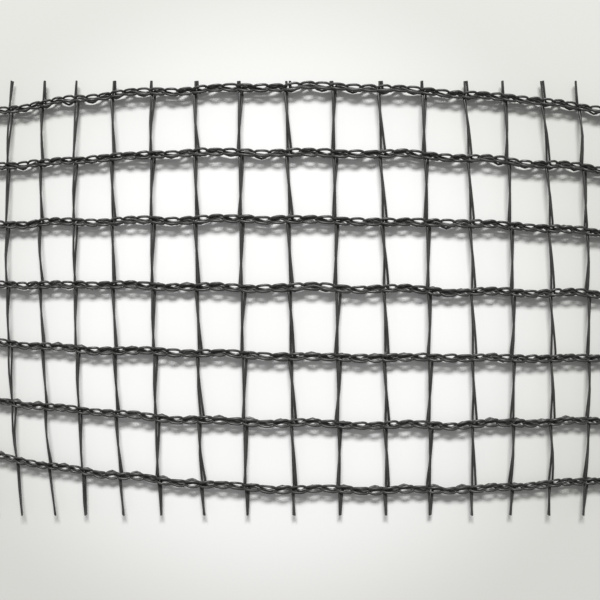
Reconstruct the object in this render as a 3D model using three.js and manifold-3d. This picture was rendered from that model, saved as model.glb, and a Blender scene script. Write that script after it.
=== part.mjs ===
// A cut piece of knitted barrier net, lying flat on a table.
// Knitted chains run along X. Bars, each a pair of filaments side by side, run along Y and are
// knitted into every chain they meet. The net is one piece: every mesh between them is open.
// It lies a little pulled: widest in the middle, with its bars closer together towards both ends.
// Millimetres, +Z up. The origin is under the middle of the piece, on the surface it lies on.

import * as THREE from 'three';
import { mergeVertices } from 'three/addons/utils/BufferGeometryUtils.js';
import Module from 'manifold-3d';

// Chains: the knitted lines
const CHAIN_COUNT = 7;
const CHAIN_PITCH = 8.45;
const CHAIN_WIDTH = 1.2;
const CHAIN_THICKNESS = 1.2;
const CHAIN_FLAT = 0.7;
const CHAIN_STEP = 0.12;
const CHAIN_RINGS_PER_BAR = 2;

// Bars: two 0.3 mm filaments side by side, seen as one flat strand
const BAR_COUNT = 17;
const BAR_PITCH = 5.9;
const BAR_WIDTH = 0.62;
const BAR_THICKNESS = 0.32;
const BAR_ZIGZAG = 0.3;
const BAR_SHIFT = 0.08;
const BAR_ROOT = 0.2;

// The piece is cut out of the net with straight cuts
const CUT_LENGTH = 85;
const CUT_WIDTH = 53.8;
const CUT_DEPTH = 5;
const CUT_SPARE = 9;

// How it lies: the bow of its bars and rows, and how far the whole is off square
const BOW_REACH = 44;
const BAR_CROWDING = 0.275;
const BAR_BOW = 0.8;
const BAR_SLIP = 1.2;
const BAR_SKEW = 0.42;
const ROW_DRAW = 2.7;
const ROW_CROWDING = 0.5;
const ROW_LEAN = 0.65;
const ROW_TAPER = 0.8;
const ROW_SAG = 0.2;
const SHIFT_X = -1.25;
const SHIFT_Y = 1.25;

// Sizes that follow from those above
const CHAIN_RUN = (BAR_COUNT + 1) * BAR_PITCH;
const CHAIN_SPAN = (CHAIN_COUNT - 1) * CHAIN_PITCH;

const NET_BLACK = new THREE.MeshStandardMaterial({ color: 0x3a3a37, roughness: 0.42, metalness: 0 });

const wasm = await Module();
wasm.setup();

const chainY = (k) => CHAIN_SPAN / 2 - k * CHAIN_PITCH;
const barX = (j) => (j - (BAR_COUNT - 1) / 2) * BAR_PITCH;

// Lays a point of the even net (x along the chains, y along the bars) where it lies on the table
function layOut(point) {
  const along = point.x / BOW_REACH;
  const across = point.y / (CHAIN_SPAN / 2);
  const crowded = BAR_CROWDING / 2 * (BOW_REACH / Math.PI * Math.sin(Math.PI * along) - point.x);
  const drawn = ROW_DRAW * (1 - Math.cos(Math.PI / 2 * along)) * across;
  point.set(
    SHIFT_X + point.x + crowded + BAR_SLIP * along ** 2 - BAR_BOW * along * across ** 2 - BAR_SKEW * across,
    SHIFT_Y + point.y - drawn - ROW_CROWDING * across ** 3
      - ROW_LEAN * along + ROW_TAPER * along * across - ROW_SAG * along ** 2,
    point.z,
  );
}

function movePoints(geometry, rule) {
  const position = geometry.getAttribute('position');
  const point = new THREE.Vector3();
  for (let i = 0; i < position.count; i += 1) {
    rule(point.fromBufferAttribute(position, i));
    position.setXYZ(i, point.x, point.y, point.z);
  }
  return geometry;
}

// One knitted chain: a six-sided strip with a flat underside, with rings at the bars and between them.
// Between the bars it is pulled to one side and to the other in turn
function chainGeometry(k) {
  const half = CHAIN_WIDTH / 2;
  const flat = CHAIN_FLAT / 2;
  const section = new THREE.Shape([
    new THREE.Vector2(-flat, 0),
    new THREE.Vector2(flat, 0),
    new THREE.Vector2(half, CHAIN_THICKNESS / 2),
    new THREE.Vector2(flat, CHAIN_THICKNESS),
    new THREE.Vector2(-flat, CHAIN_THICKNESS),
    new THREE.Vector2(-half, CHAIN_THICKNESS / 2),
  ]);
  const strip = new THREE.ExtrudeGeometry(section, {
    depth: CHAIN_RUN, steps: (BAR_COUNT + 1) * CHAIN_RINGS_PER_BAR, bevelEnabled: false,
  });
  return movePoints(strip, (point) => {
    const x = point.z - CHAIN_RUN / 2;
    const pulled = CHAIN_STEP * Math.sin(Math.PI * x / BAR_PITCH);
    point.set(x, point.x + chainY(k) + pulled, point.y);
    layOut(point);
  });
}

// One bar between two levels of Y. It steps sideways on its way, to the other side on every other bar
function barGeometry(j, top, bottom) {
  const strand = new THREE.BoxGeometry(BAR_WIDTH, top - bottom, BAR_THICKNESS);
  const side = j % 2 === 0 ? 1 : -1;
  const lean = -side * BAR_ZIGZAG / CHAIN_PITCH;
  return movePoints(strand, (point) => {
    const x = point.x + barX(j) + side * BAR_SHIFT + lean * point.y;
    point.set(x, point.y + (top + bottom) / 2, point.z + CHAIN_THICKNESS / 2);
    layOut(point);
  });
}

// The stretches of one bar: one for each mesh, and one past each edge, to be cut
function barStretches() {
  const stretches = [[chainY(0) + CUT_SPARE, chainY(0) - BAR_ROOT]];
  for (let k = 0; k < CHAIN_COUNT - 1; k += 1) {
    stretches.push([chainY(k) + BAR_ROOT, chainY(k + 1) - BAR_ROOT]);
  }
  const last = chainY(CHAIN_COUNT - 1);
  stretches.push([last + BAR_ROOT, last - CUT_SPARE]);
  return stretches;
}

function toSolid(geometry) {
  geometry.deleteAttribute('normal');
  geometry.deleteAttribute('uv');
  const merged = mergeVertices(geometry);
  return new wasm.Manifold(new wasm.Mesh({
    numProp: 3,
    vertProperties: new Float32Array(merged.getAttribute('position').array),
    triVerts: new Uint32Array(merged.getIndex().array),
  }));
}

function toGeometry(solid) {
  const mesh = solid.getMesh();
  const geometry = new THREE.BufferGeometry();
  geometry.setAttribute('position', new THREE.BufferAttribute(mesh.vertProperties, 3));
  geometry.setIndex(new THREE.BufferAttribute(mesh.triVerts, 1));
  geometry.computeVertexNormals();
  return geometry;
}

function netGeometry() {
  let net = toSolid(chainGeometry(0));
  for (let k = 1; k < CHAIN_COUNT; k += 1) {
    net = net.add(toSolid(chainGeometry(k)));
  }
  for (let j = 0; j < BAR_COUNT; j += 1) {
    for (const [top, bottom] of barStretches()) {
      net = net.add(toSolid(barGeometry(j, top, bottom)));
    }
  }
  const kept = toSolid(new THREE.BoxGeometry(CUT_LENGTH, CUT_WIDTH, CUT_DEPTH));
  return toGeometry(net.intersect(kept));
}

const part = new THREE.Group();
const net = new THREE.Mesh(netGeometry(), NET_BLACK);
net.name = 'net';
part.add(net);

export default part;
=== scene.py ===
# %% [markdown]
# # A piece of knitted barrier net
# The net is knitted from black polyethylene filament, about as thick as fishing line. Chains of
# loops run one way. Pairs of filaments, the bars, run the other way and are knitted into each
# chain. This lesson makes the filaments themselves: one stitch repeated by Geometry Nodes, the
# laid-in filaments as walked lines, and one rule that lays the even knit as it lies on the table.

# %% Load the frame
import math

import bmesh
import bpy
import numpy as np
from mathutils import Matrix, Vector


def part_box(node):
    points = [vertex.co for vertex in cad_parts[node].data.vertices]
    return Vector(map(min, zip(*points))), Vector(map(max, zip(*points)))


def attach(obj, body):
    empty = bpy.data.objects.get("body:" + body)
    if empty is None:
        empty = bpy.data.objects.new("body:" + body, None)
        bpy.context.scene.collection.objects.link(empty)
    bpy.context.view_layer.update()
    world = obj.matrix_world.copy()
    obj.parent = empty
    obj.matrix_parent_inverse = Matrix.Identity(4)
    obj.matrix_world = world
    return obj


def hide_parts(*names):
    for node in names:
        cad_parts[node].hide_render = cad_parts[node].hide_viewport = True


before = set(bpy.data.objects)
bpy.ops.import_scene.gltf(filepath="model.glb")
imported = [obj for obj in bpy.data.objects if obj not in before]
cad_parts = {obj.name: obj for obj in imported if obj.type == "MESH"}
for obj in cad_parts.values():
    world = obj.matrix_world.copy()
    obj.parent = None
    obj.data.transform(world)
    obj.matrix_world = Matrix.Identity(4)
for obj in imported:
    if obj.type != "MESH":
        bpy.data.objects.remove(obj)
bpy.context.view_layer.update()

# %% [markdown]
# ## Sizes
# A knitter would count stitches, so the sizes start there: three stitches of a chain lie between
# two bars. The outer size of the cut piece is read from the solid that the frame holds.

# %% Sizes of the knit
MM = 0.001
CHAINS = 7
CHAIN_PITCH = 8.45 * MM
BARS = 17
BAR_PITCH = 5.9 * MM
STITCHES_PER_BAR = 3
FILAMENT = 0.34 * MM

STITCH = BAR_PITCH / STITCHES_PER_BAR
CHAIN_RUN = (BARS + 1) * BAR_PITCH
CHAIN_SPAN = (CHAINS - 1) * CHAIN_PITCH
net_low, net_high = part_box("net")
CUT_LENGTH = net_high.x - net_low.x
CUT_WIDTH = net_high.y - net_low.y


def chain_y(k):
    return CHAIN_SPAN / 2 - k * CHAIN_PITCH


def bar_x(j):
    return (j - (BARS - 1) / 2) * BAR_PITCH


print(f"stitch {STITCH / MM:.2f} mm long, piece {CUT_LENGTH / MM:.1f} by {CUT_WIDTH / MM:.1f} mm")

# %% [markdown]
# ## How the net lies
# On the machine every mesh is alike. On the table the piece is a little pulled: widest in the
# middle, with bars closer together towards both ends. One rule moves any point of the even net to
# where it lies, so the filaments can be made on the even net first, which is far simpler.

# %% From the even net to the laid one
BOW_REACH = 44 * MM
BAR_CROWDING = 0.275
BAR_BOW = 0.8 * MM
BAR_SLIP = 1.2 * MM
BAR_SKEW = 0.42 * MM
ROW_DRAW = 2.7 * MM
ROW_CROWDING = 0.5 * MM
ROW_LEAN = 0.65 * MM
ROW_TAPER = 0.8 * MM
ROW_SAG = 0.2 * MM
SHIFT_X = -1.25 * MM
SHIFT_Y = 1.25 * MM


def lay_out(x, y):
    """Where a point of the even net lies on the table."""
    along = x / BOW_REACH
    across = y / (CHAIN_SPAN / 2)
    crowded = BAR_CROWDING / 2 * (BOW_REACH / math.pi * np.sin(math.pi * along) - x)
    drawn = ROW_DRAW * (1 - np.cos(math.pi / 2 * along)) * across
    bent = BAR_SLIP * along**2 - BAR_BOW * along * across**2 - BAR_SKEW * across
    tipped = ROW_TAPER * along * across - ROW_LEAN * along - ROW_SAG * along**2
    return SHIFT_X + x + crowded + bent, SHIFT_Y + y - drawn - ROW_CROWDING * across**3 + tipped


outer_bars = [float(lay_out(bar_x(j), 0)[0]) for j in (0, BARS - 1)]
print("first and last bar lie at", [round(x / MM, 1) for x in outer_bars], "mm")

# %% [markdown]
# ## The stitch
# A chain is one filament pulled through itself. Each loop comes up through the head of the loop
# before it, runs forward as two legs, closes in a head of its own and goes down to the back, where
# it runs on to the next stitch, on one side of the chain and on the other in turn. These back runs
# are a little slack, and the net stands on them. One stitch is a short table of given points, and
# the next is its mirror image. The last point of the pair is the next pair's first, so
# copies laid end to end make one unbroken filament.

# %% Points of two stitches
# Along in stitches, across and up in millimetres
STITCH_POINTS = (
    (0.00, 0.00, -0.50),
    (0.09, 0.15, -0.08),
    (0.34, 0.32, 0.25),
    (0.80, 0.40, 0.24),
    (1.07, 0.31, 0.02),
    (1.18, 0.00, -0.08),
    (1.07, -0.31, 0.02),
    (0.80, -0.40, 0.24),
    (0.34, -0.32, 0.25),
    (0.09, -0.15, -0.08),
    (0.06, -0.04, -0.46),
    (0.58, 0.32, -0.70),
    (1.00, 0.00, -0.50),
)


def line_mesh(name, lines):
    """A mesh of bare edges: each line is a list of points joined in order."""
    points, edges = [], []
    for line in lines:
        first = len(points)
        points.extend(line)
        edges.extend((n, n + 1) for n in range(first, len(points) - 1))
    mesh = bpy.data.meshes.new(name)
    mesh.from_pydata(points, edges, [])
    return mesh


pair_line = [(s * STITCH, t * MM, w * MM) for s, t, w in STITCH_POINTS]
pair_line += [((s + 1) * STITCH, -t * MM, w * MM) for s, t, w in STITCH_POINTS[1:]]
pair_guide = bpy.data.objects.new("pair_guide", line_mesh("pair_guide", [pair_line]))
bpy.context.scene.collection.objects.link(pair_guide)
print("two stitches:", len(pair_line), "points")

# %% [markdown]
# ## The laid-in filaments
# Two filaments serve each row of meshes. Each lies in one chain for three stitches, weaving from
# side to side, which leaves an eye on the other side of every loop. Then it crosses the row as half
# of a bar and lies in the next chain. The second one does the opposite, so every bar is a pair. On
# one bar the pair is pulled together at the lower chain, on the next at the upper one. A loop walks
# along each filament and notes its points. Past the outer chains they run on, to be cut later.

# %% Walk the laid-in filaments
SEED = 11
draw = np.random.default_rng(SEED)

EYE = 0.5
WEAVE = 0.2 * MM
WEAVE_APART = 0.05 * MM
OUTER_DEPTH = -0.24 * MM
INNER_DEPTH = 0.05 * MM
INLAY_DEPTH = -0.2 * MM
BAR_LIFT = 0.16 * MM
BAR_ARCH = 0.3 * MM
BAR_ZIGZAG = 0.3 * MM
BAR_SHIFT = 0.08 * MM
TURN = 0.35 * MM
CORNER = 0.2 * MM
LEAD = 0.8 * MM
TAIL = 9 * MM
WIDE_GAP = (0.3 * MM, 0.5 * MM)
TIGHT_GAP = (0.12 * MM, 0.3 * MM)
BAR_BULGE = 0.07 * MM

# Gaps between the two filaments of each bar, for each row of meshes and both rows of tails
ROWS = CHAINS + 1
wide = draw.uniform(*WIDE_GAP, (ROWS, BARS))
tight = draw.uniform(*TIGHT_GAP, (ROWS, BARS))
spread_at_top = np.arange(BARS) % 2 == 1
gap_top = np.where(spread_at_top, wide, tight)
gap_bottom = np.where(spread_at_top, tight, wide)
bulge = draw.uniform(-BAR_BULGE, BAR_BULGE, (ROWS, BARS, 2))


def in_chain(x, chain, across, up):
    """A point beside the middle line of a chain."""
    return (x, chain_y(chain) + across, up)


def chain_points(row, j, chain):
    """The points of one filament in a chain, from bar j - 1 to bar j."""
    side = 1 if chain == row else -1
    first = STITCHES_PER_BAR * j
    ends = [-CHAIN_RUN / 2 + n * STITCH for n in (first, first + STITCHES_PER_BAR)]
    points = [in_chain(ends[0] + TURN, chain, side * CORNER, INLAY_DEPTH)]
    for n in range(first, first + STITCHES_PER_BAR):
        weave_side = 1 if n % 2 == 0 else -1
        across = weave_side * WEAVE + side * WEAVE_APART
        depth = OUTER_DEPTH if side == weave_side else INNER_DEPTH
        points.append(in_chain(-CHAIN_RUN / 2 + (n + EYE) * STITCH, chain, across, depth))
    points.append(in_chain(ends[1] - TURN, chain, side * CORNER, INLAY_DEPTH))
    return points


def bar_points(row, j, going_down):
    """The points of one filament of a bar, from its upper end to its lower end."""
    side = -1 if going_down else 1
    turn = 1 if spread_at_top[j] else -1
    middle = bar_x(j) - turn * BAR_SHIFT
    top_x = middle + turn * BAR_ZIGZAG / 2 + side * gap_top[row, j] / 2
    bottom_x = middle - turn * BAR_ZIGZAG / 2 - side * gap_bottom[row, j] / 2
    middle_x = (top_x + bottom_x) / 2 + bulge[row, j, int(going_down)]
    top_y, bottom_y = chain_y(row - 1), chain_y(row)
    lift = INLAY_DEPTH - side * BAR_LIFT
    if row == 0:
        tail = [(top_x, bottom_y + TAIL, lift), (middle_x, bottom_y + TAIL / 2, lift)]
        return tail + [(bottom_x, bottom_y + CORNER, INLAY_DEPTH)]
    if row == CHAINS:
        tail = [(middle_x, top_y - TAIL / 2, lift), (bottom_x, top_y - TAIL, lift)]
        return [(top_x, top_y - CORNER, INLAY_DEPTH)] + tail
    return [
        (top_x, top_y - CORNER, INLAY_DEPTH),
        (top_x, top_y - LEAD, lift),
        (middle_x, (top_y + bottom_y) / 2, lift + BAR_ARCH),
        (bottom_x, bottom_y + LEAD, lift),
        (bottom_x, bottom_y + CORNER, INLAY_DEPTH),
    ]


def inlay_lines(row, phase):
    """One filament of a row of meshes. Past the outer chains it is in pieces."""
    lines, line = [], []
    for j in range(BARS + 1):
        going_down = (j + phase) % 2 == 0
        chain = row - 1 if going_down else row
        if 0 <= chain < CHAINS:
            line.extend(chain_points(row, j, chain))
        if j < BARS:
            points = bar_points(row, j, going_down)
            line.extend(points if going_down else points[::-1])
            leads_to = row if going_down else row - 1
            if not 0 <= leads_to < CHAINS:
                lines.append(line)
                line = []
    return lines + [line] if line else lines


laid_in = [line for row in range(ROWS) for phase in (0, 1) for line in inlay_lines(row, phase)]
print("laid-in filaments:", len(laid_in), "lines,", sum(len(line) for line in laid_in), "points")

# %% [markdown]
# ## Knitting with Geometry Nodes
# The tree sets two stitches on every point of a grid, joins the copies end to end, adds the laid-in
# lines, and sweeps a small circle along all of them. It works on the even net, where every chain is
# straight. A noise with a fixed seed makes the loops as uneven as pulled filament. Two attributes
# stay on the surface for the material: the distance along the filament, and the place around it.

# %% Helpers for node trees


def add_node(tree, kind, inputs=None, **settings):
    """A node with its settings, and with values or links on its inputs."""
    node = tree.nodes.new(kind)
    for name, value in settings.items():
        setattr(node, name, value)
    for key, value in (inputs or {}).items():
        if isinstance(value, bpy.types.NodeSocket):
            tree.links.new(value, node.inputs[key])
        else:
            node.inputs[key].default_value = value
    return node


def math_node(tree, operation, first, second):
    return add_node(tree, "ShaderNodeMath", {0: first, 1: second}, operation=operation).outputs[0]


print("node helpers ready")

# %% The knitting tree
KNIT_INPUTS = (
    ("Pair", "NodeSocketObject"),
    ("Pairs", "NodeSocketInt"),
    ("Pair Length", "NodeSocketFloat"),
    ("Pair Shift", "NodeSocketFloat"),
    ("Chains", "NodeSocketInt"),
    ("Chain Pitch", "NodeSocketFloat"),
    ("Radius", "NodeSocketFloat"),
    ("Sides", "NodeSocketInt"),
    ("Curve Steps", "NodeSocketInt"),
    ("Unevenness", "NodeSocketFloat"),
    ("Uneven Scale", "NodeSocketFloat"),
    ("Seed", "NodeSocketFloat"),
    ("Material", "NodeSocketMaterial"),
)
JOIN_DISTANCE = 0.001 * MM


def knit_tree():
    tree = bpy.data.node_groups.new("Knitted net", "GeometryNodeTree")
    tree.interface.new_socket(name="Lines", in_out="INPUT", socket_type="NodeSocketGeometry")
    for name, kind in KNIT_INPUTS:
        tree.interface.new_socket(name=name, in_out="INPUT", socket_type=kind)
    tree.interface.new_socket(name="Net", in_out="OUTPUT", socket_type="NodeSocketGeometry")
    given = tree.nodes.new("NodeGroupInput").outputs

    def span(count, pitch):
        return math_node(tree, "MULTIPLY", math_node(tree, "SUBTRACT", given[count], 1.0), given[pitch])

    grid = add_node(tree, "GeometryNodeMeshGrid", {
        "Size X": span("Pairs", "Pair Length"), "Size Y": span("Chains", "Chain Pitch"),
        "Vertices X": given["Pairs"], "Vertices Y": given["Chains"]})
    half_back = math_node(tree, "MULTIPLY", given["Pair Length"], -0.5)
    shifted = math_node(tree, "ADD", half_back, given["Pair Shift"])
    offset = add_node(tree, "ShaderNodeCombineXYZ", {"X": shifted})
    placed = add_node(tree, "GeometryNodeTransform", {
        "Geometry": grid.outputs["Mesh"], "Translation": offset.outputs[0]})

    pair = add_node(tree, "GeometryNodeObjectInfo", {"Object": given["Pair"]})
    copies = add_node(tree, "GeometryNodeInstanceOnPoints", {
        "Points": placed.outputs["Geometry"], "Instance": pair.outputs["Geometry"]})
    loose = add_node(tree, "GeometryNodeRealizeInstances", {"Geometry": copies.outputs["Instances"]})
    chains = add_node(tree, "GeometryNodeMergeByDistance", {
        "Geometry": loose.outputs["Geometry"], "Distance": JOIN_DISTANCE})
    lines = add_node(tree, "GeometryNodeJoinGeometry")
    tree.links.new(chains.outputs["Geometry"], lines.inputs[0])
    tree.links.new(given["Lines"], lines.inputs[0])

    place = add_node(tree, "GeometryNodeInputPosition")
    noise = add_node(tree, "ShaderNodeTexNoise", {
        "Vector": place.outputs[0], "W": given["Seed"], "Scale": given["Uneven Scale"], "Detail": 1.0},
        noise_dimensions="4D")
    centred = add_node(tree, "ShaderNodeVectorMath", {
        0: noise.outputs["Color"], 1: (0.5, 0.5, 0.5)}, operation="SUBTRACT")
    shift = add_node(tree, "ShaderNodeVectorMath", {
        0: centred.outputs[0], "Scale": given["Unevenness"]}, operation="SCALE")
    uneven = add_node(tree, "GeometryNodeSetPosition", {
        "Geometry": lines.outputs[0], "Offset": shift.outputs[0]})

    curve = add_node(tree, "GeometryNodeMeshToCurve", {"Mesh": uneven.outputs[0]})
    smooth = add_node(tree, "GeometryNodeCurveSplineType", {
        "Curve": curve.outputs[0]}, spline_type="CATMULL_ROM")
    stepped = add_node(tree, "GeometryNodeSetSplineResolution", {
        "Geometry": smooth.outputs[0], "Resolution": given["Curve Steps"]})
    length = add_node(tree, "GeometryNodeSplineParameter")
    along = add_node(tree, "GeometryNodeStoreNamedAttribute", {
        "Geometry": stepped.outputs[0], "Name": "along", "Value": length.outputs["Length"]},
        data_type="FLOAT", domain="POINT")
    circle = add_node(tree, "GeometryNodeCurvePrimitiveCircle", {
        "Resolution": given["Sides"], "Radius": given["Radius"]})
    rim_place = add_node(tree, "GeometryNodeInputPosition")
    inverse = math_node(tree, "DIVIDE", 1.0, given["Radius"])
    rim_unit = add_node(tree, "ShaderNodeVectorMath", {
        0: rim_place.outputs[0], "Scale": inverse}, operation="SCALE")
    rim = add_node(tree, "GeometryNodeStoreNamedAttribute", {
        "Geometry": circle.outputs["Curve"], "Name": "rim", "Value": rim_unit.outputs[0]},
        data_type="FLOAT_VECTOR", domain="POINT")
    tube = add_node(tree, "GeometryNodeCurveToMesh", {
        "Curve": along.outputs[0], "Profile Curve": rim.outputs[0], "Fill Caps": True})
    shaded = add_node(tree, "GeometryNodeSetShadeSmooth", {"Geometry": tube.outputs[0]})
    whole = add_node(tree, "GeometryNodeRealizeInstances", {"Geometry": shaded.outputs[0]})
    finished = add_node(tree, "GeometryNodeSetMaterial", {
        "Geometry": whole.outputs[0], "Material": given["Material"]})
    result = tree.nodes.new("NodeGroupOutput")
    tree.links.new(finished.outputs[0], result.inputs["Net"])
    return tree


def set_inputs(modifier, values):
    for item in modifier.node_group.interface.items_tree:
        if item.item_type == "SOCKET" and item.in_out == "INPUT" and item.name in values:
            modifier[item.identifier] = values[item.name]


knit_group = knit_tree()
print("knitting tree:", len(knit_group.nodes), "nodes")

# %% [markdown]
# ## The filament's finish
# Drawn polyethylene is almost black, a little olive where light comes through its skin, and satin
# rather than glossy. The die leaves fine lines along it, and rubbing leaves duller, paler patches.
# The lines are a noise stretched along the filament, on the two attributes that the tree stored.

# %% Filament material


def filament_material():
    material = bpy.data.materials.new("net_filament")
    material.use_nodes = True
    tree = material.node_tree
    shader = tree.nodes["Principled BSDF"]
    along = add_node(tree, "ShaderNodeAttribute", attribute_name="along").outputs["Fac"]
    rim = add_node(tree, "ShaderNodeAttribute", attribute_name="rim").outputs["Vector"]
    split = add_node(tree, "ShaderNodeSeparateXYZ", {0: rim})
    stretch = math_node(tree, "MULTIPLY", along, 60.0)
    place = add_node(tree, "ShaderNodeCombineXYZ", {
        "X": split.outputs["X"], "Y": split.outputs["Y"], "Z": stretch})
    die_lines = add_node(tree, "ShaderNodeTexNoise", {
        "Vector": place.outputs[0], "Scale": 4.0, "Detail": 3.0})
    spread = add_node(tree, "ShaderNodeTexCoord").outputs["Object"]
    patches = add_node(tree, "ShaderNodeTexNoise", {"Vector": spread, "Scale": 420.0, "Detail": 2.0})

    colour = add_node(tree, "ShaderNodeValToRGB", {"Fac": patches.outputs["Fac"]})
    colour.color_ramp.elements[0].position = 0.35
    colour.color_ramp.elements[0].color = (0.027, 0.027, 0.025, 1)
    colour.color_ramp.elements[1].position = 0.72
    colour.color_ramp.elements[1].color = (0.052, 0.053, 0.048, 1)
    tree.links.new(colour.outputs["Color"], shader.inputs["Base Color"])

    rough = add_node(tree, "ShaderNodeMapRange", {
        "Value": die_lines.outputs["Fac"], "From Min": 0.3, "From Max": 0.7,
        "To Min": 0.26, "To Max": 0.46})
    tree.links.new(rough.outputs["Result"], shader.inputs["Roughness"])
    bump = add_node(tree, "ShaderNodeBump", {
        "Height": die_lines.outputs["Fac"], "Strength": 0.25, "Distance": 0.02 * MM})
    tree.links.new(bump.outputs["Normal"], shader.inputs["Normal"])
    shader.inputs["IOR"].default_value = 1.52
    return material


net_filament = filament_material()
print("material:", net_filament.name, len(net_filament.node_tree.nodes), "nodes")

# %% Knit the even net
CURVE_STEPS = 2
TUBE_SIDES = 7
UNEVENNESS = 0.4 * MM
UNEVEN_SCALE = 450.0
STITCH_SHIFT = -0.3

net = bpy.data.objects.new("knitted_net", line_mesh("laid_in", laid_in))
bpy.context.scene.collection.objects.link(net)
knit = net.modifiers.new("Knit", "NODES")
knit.node_group = knit_group
set_inputs(knit, {
    "Pair": pair_guide, "Pairs": (BARS + 1) * STITCHES_PER_BAR // 2, "Pair Length": 2 * STITCH,
    "Pair Shift": STITCH_SHIFT * STITCH,
    "Chains": CHAINS, "Chain Pitch": CHAIN_PITCH,
    "Radius": FILAMENT / 2, "Sides": TUBE_SIDES, "Curve Steps": CURVE_STEPS,
    "Unevenness": UNEVENNESS, "Uneven Scale": UNEVEN_SCALE, "Seed": float(SEED),
    "Material": net_filament,
})
depsgraph = bpy.context.evaluated_depsgraph_get()
knitted = bpy.data.meshes.new_from_object(
    net.evaluated_get(depsgraph), preserve_all_data_layers=True, depsgraph=depsgraph)
net.modifiers.clear()
net.data = knitted
knitted.name = "knitted_net"
bpy.data.objects.remove(pair_guide)
print("knitted:", len(knitted.vertices), "points")

# %% [markdown]
# ## Laying and cutting
# The laid-in filaments pull each chain to one side and to the other in turn, a little between every
# two bars. The net is springy, so its rows also sway, its chains twist now one way and now the other,
# and it does not touch the table everywhere. All of these are waves, added before the rule above
# takes every point to where it lies. Then the piece is cut out with four straight cuts, and every
# cut filament gets a flat end.

# %% Lay it down
CHAIN_STEP = 0.12 * MM
SWAY = 0.07 * MM
HOVER = 0.05 * MM
TWIST = math.radians(12)
TWIST_REACH = 0.9 * MM
ROUND = 2 * math.pi


def twisted(x, y, z):
    """Turn each chain about its own middle line. Away from the chain the turn fades out."""
    row = np.clip(np.round((CHAIN_SPAN / 2 - y) / CHAIN_PITCH), 0, CHAINS - 1)
    aside = y - chain_y(row)
    wave = np.sin(ROUND * x / (37 * MM) + 2.4 * row) + 0.5 * np.sin(ROUND * x / (11 * MM) + 4.1 * row)
    turn = TWIST * wave * np.exp(-((aside / TWIST_REACH) ** 2))
    return chain_y(row) + aside * np.cos(turn) + z * np.sin(turn), z * np.cos(turn) - aside * np.sin(turn)


def lay_down(mesh):
    points = np.empty(len(mesh.vertices) * 3)
    mesh.vertices.foreach_get("co", points)
    x, y, z = points.reshape(-1, 3).T
    y, z = twisted(x, y, z)
    sway = np.sin(ROUND * (x / (31 * MM) + y / (23 * MM)))
    sway += 0.6 * np.sin(ROUND * (x / (13 * MM) - y / (17 * MM)) + 1.3)
    lift = 0.6 * np.sin(ROUND * (x / (47 * MM) + y / (39 * MM)) + 0.6)
    lift += 0.4 * np.sin(ROUND * (x / (19 * MM) - y / (33 * MM)) + 2.1)
    pulled = CHAIN_STEP * np.sin(math.pi * x / BAR_PITCH)
    laid_x, laid_y = lay_out(x, y + pulled + SWAY * sway)
    laid_z = z + HOVER * lift
    mesh.vertices.foreach_set("co", np.stack([laid_x, laid_y, laid_z - laid_z.min()], axis=1).ravel())
    mesh.update()
    return laid_z.max() - laid_z.min()


print(f"the net stands {lay_down(knitted) / MM:.2f} mm high")

# %% Cut the piece out


def cut_straight(mesh, point, outward):
    """Cut away what lies outward of a point, and close the cut filaments."""
    work = bmesh.new()
    work.from_mesh(mesh)
    everything = work.verts[:] + work.edges[:] + work.faces[:]
    cut = bmesh.ops.bisect_plane(work, geom=everything, plane_co=point, plane_no=outward, clear_outer=True)
    rims = [part for part in cut["geom_cut"] if isinstance(part, bmesh.types.BMEdge)]
    ends = bmesh.ops.edgeloop_fill(work, edges=rims)["faces"]
    work.to_mesh(mesh)
    work.free()
    return len(ends)


for outward in ((1, 0, 0), (-1, 0, 0), (0, 1, 0), (0, -1, 0)):
    edge = (outward[0] * CUT_LENGTH / 2, outward[1] * CUT_WIDTH / 2, 0)
    print("cut towards", outward, "closed", cut_straight(knitted, edge, outward), "ends")
triangles = sum(len(face.vertices) - 2 for face in knitted.polygons)
print("the piece:", len(knitted.vertices), "points,", triangles, "triangles")

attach(net, "root")
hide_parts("net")

# %% [markdown]
# ## Floor, camera and light
# A pale floor, a soft even light from everywhere, and a long tube lamp beyond the far edge of the
# net. The lamp stands about halfway down from overhead, so each chain's shadow falls beside it.
# Because the tube lies along the chains, their shadows stay crisper than those of the bars. The
# floor's colour is painted brightest in a round pool of light under the camera, and painted a little
# darker outside it as shade.

# %% Floor
FLOOR_HALF = 1.5
# Painted pool of light on the floor: its middle, where its painted shade starts and ends, and its two
# painted colours
PAINTED_POOL_MIDDLE = (-4 * MM, -3 * MM, 0.0)
PAINTED_POOL_START = 19 * MM
PAINTED_POOL_END = 46 * MM
FLOOR_PAINTED_POOL_WHITE = (0.9, 0.9, 0.89, 1)
FLOOR_PAINTED_SHADE_GREY = (0.65, 0.65, 0.62, 1)


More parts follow.
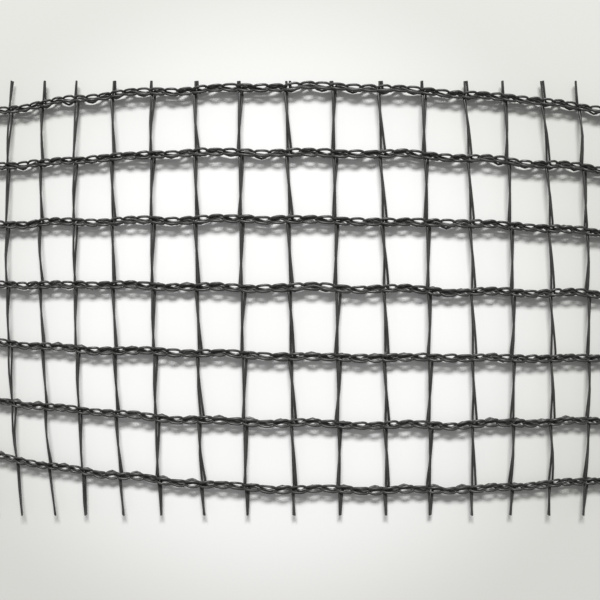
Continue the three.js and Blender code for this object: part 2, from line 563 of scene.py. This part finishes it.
def floor_material_with_painted_pool():
    material = bpy.data.materials.new("pale_floor_painted_pool")
    material.use_nodes = True
    tree = material.node_tree
    shader = tree.nodes["Principled BSDF"]
    # The base colour paints light and shade: painted white near the middle, turning to a painted grey
    # shade further out
    place = add_node(tree, "ShaderNodeTexCoord").outputs["Object"]
    away = add_node(tree, "ShaderNodeVectorMath", {0: place, 1: PAINTED_POOL_MIDDLE}, operation="DISTANCE")
    painted_pool_falloff = add_node(tree, "ShaderNodeMapRange", {
        "Value": away.outputs["Value"], "From Min": PAINTED_POOL_START, "From Max": PAINTED_POOL_END},
        interpolation_type="SMOOTHSTEP")
    shade = add_node(tree, "ShaderNodeValToRGB", {"Fac": painted_pool_falloff.outputs["Result"]})
    shade.color_ramp.elements[0].color = FLOOR_PAINTED_POOL_WHITE
    shade.color_ramp.elements[1].color = FLOOR_PAINTED_SHADE_GREY
    tree.links.new(shade.outputs["Color"], shader.inputs["Base Color"])
    shader.inputs["Roughness"].default_value = 0.8
    shader.inputs["Specular IOR Level"].default_value = 0.1
    return material


floor_mesh = bpy.data.meshes.new("floor")
floor_corners = [(-1, -1), (1, -1), (1, 1), (-1, 1)]
floor_mesh.from_pydata([(x * FLOOR_HALF, y * FLOOR_HALF, 0) for x, y in floor_corners], [], [(0, 1, 2, 3)])
floor = bpy.data.objects.new("floor", floor_mesh)
floor_mesh.materials.append(floor_material_with_painted_pool())
bpy.context.scene.collection.objects.link(floor)
print("floor made")

# %% Camera
LENS = 48.0
CAMERA_AT = (0.0, -0.24 * MM, 100 * MM)

camera_data = bpy.data.cameras.new("camera")
camera_data.lens = LENS
camera_data.sensor_width = 36.0
camera_data.clip_start = 1 * MM
camera = bpy.data.objects.new("camera", camera_data)
camera.location = CAMERA_AT
bpy.context.scene.collection.objects.link(camera)
bpy.context.scene.camera = camera
print("camera", round(CAMERA_AT[2] / MM, 1), "mm above the floor")

# %% Lights
LAMP_TILT = math.radians(46)
LAMP_AWAY = 0.6
LAMP_LENGTH = 0.3
LAMP_WIDTH = 0.12
LAMP_POWER = 4.5
SKY = 0.3

lamp_data = bpy.data.lights.new("lamp", "AREA")
lamp_data.shape = "RECTANGLE"
lamp_data.size = LAMP_LENGTH
lamp_data.size_y = LAMP_WIDTH
lamp_data.energy = LAMP_POWER
lamp = bpy.data.objects.new("lamp", lamp_data)
lamp.location = (0, LAMP_AWAY * math.sin(LAMP_TILT), LAMP_AWAY * math.cos(LAMP_TILT))
lamp.rotation_euler = (-LAMP_TILT, 0, 0)
bpy.context.scene.collection.objects.link(lamp)

world = bpy.data.worlds.new("studio")
world.use_nodes = True
sky = world.node_tree.nodes["Background"]
sky.inputs["Color"].default_value = (1, 1, 1, 1)
sky.inputs["Strength"].default_value = SKY
bpy.context.scene.world = world
bpy.context.scene.view_settings.view_transform = "Standard"
print("lights made")
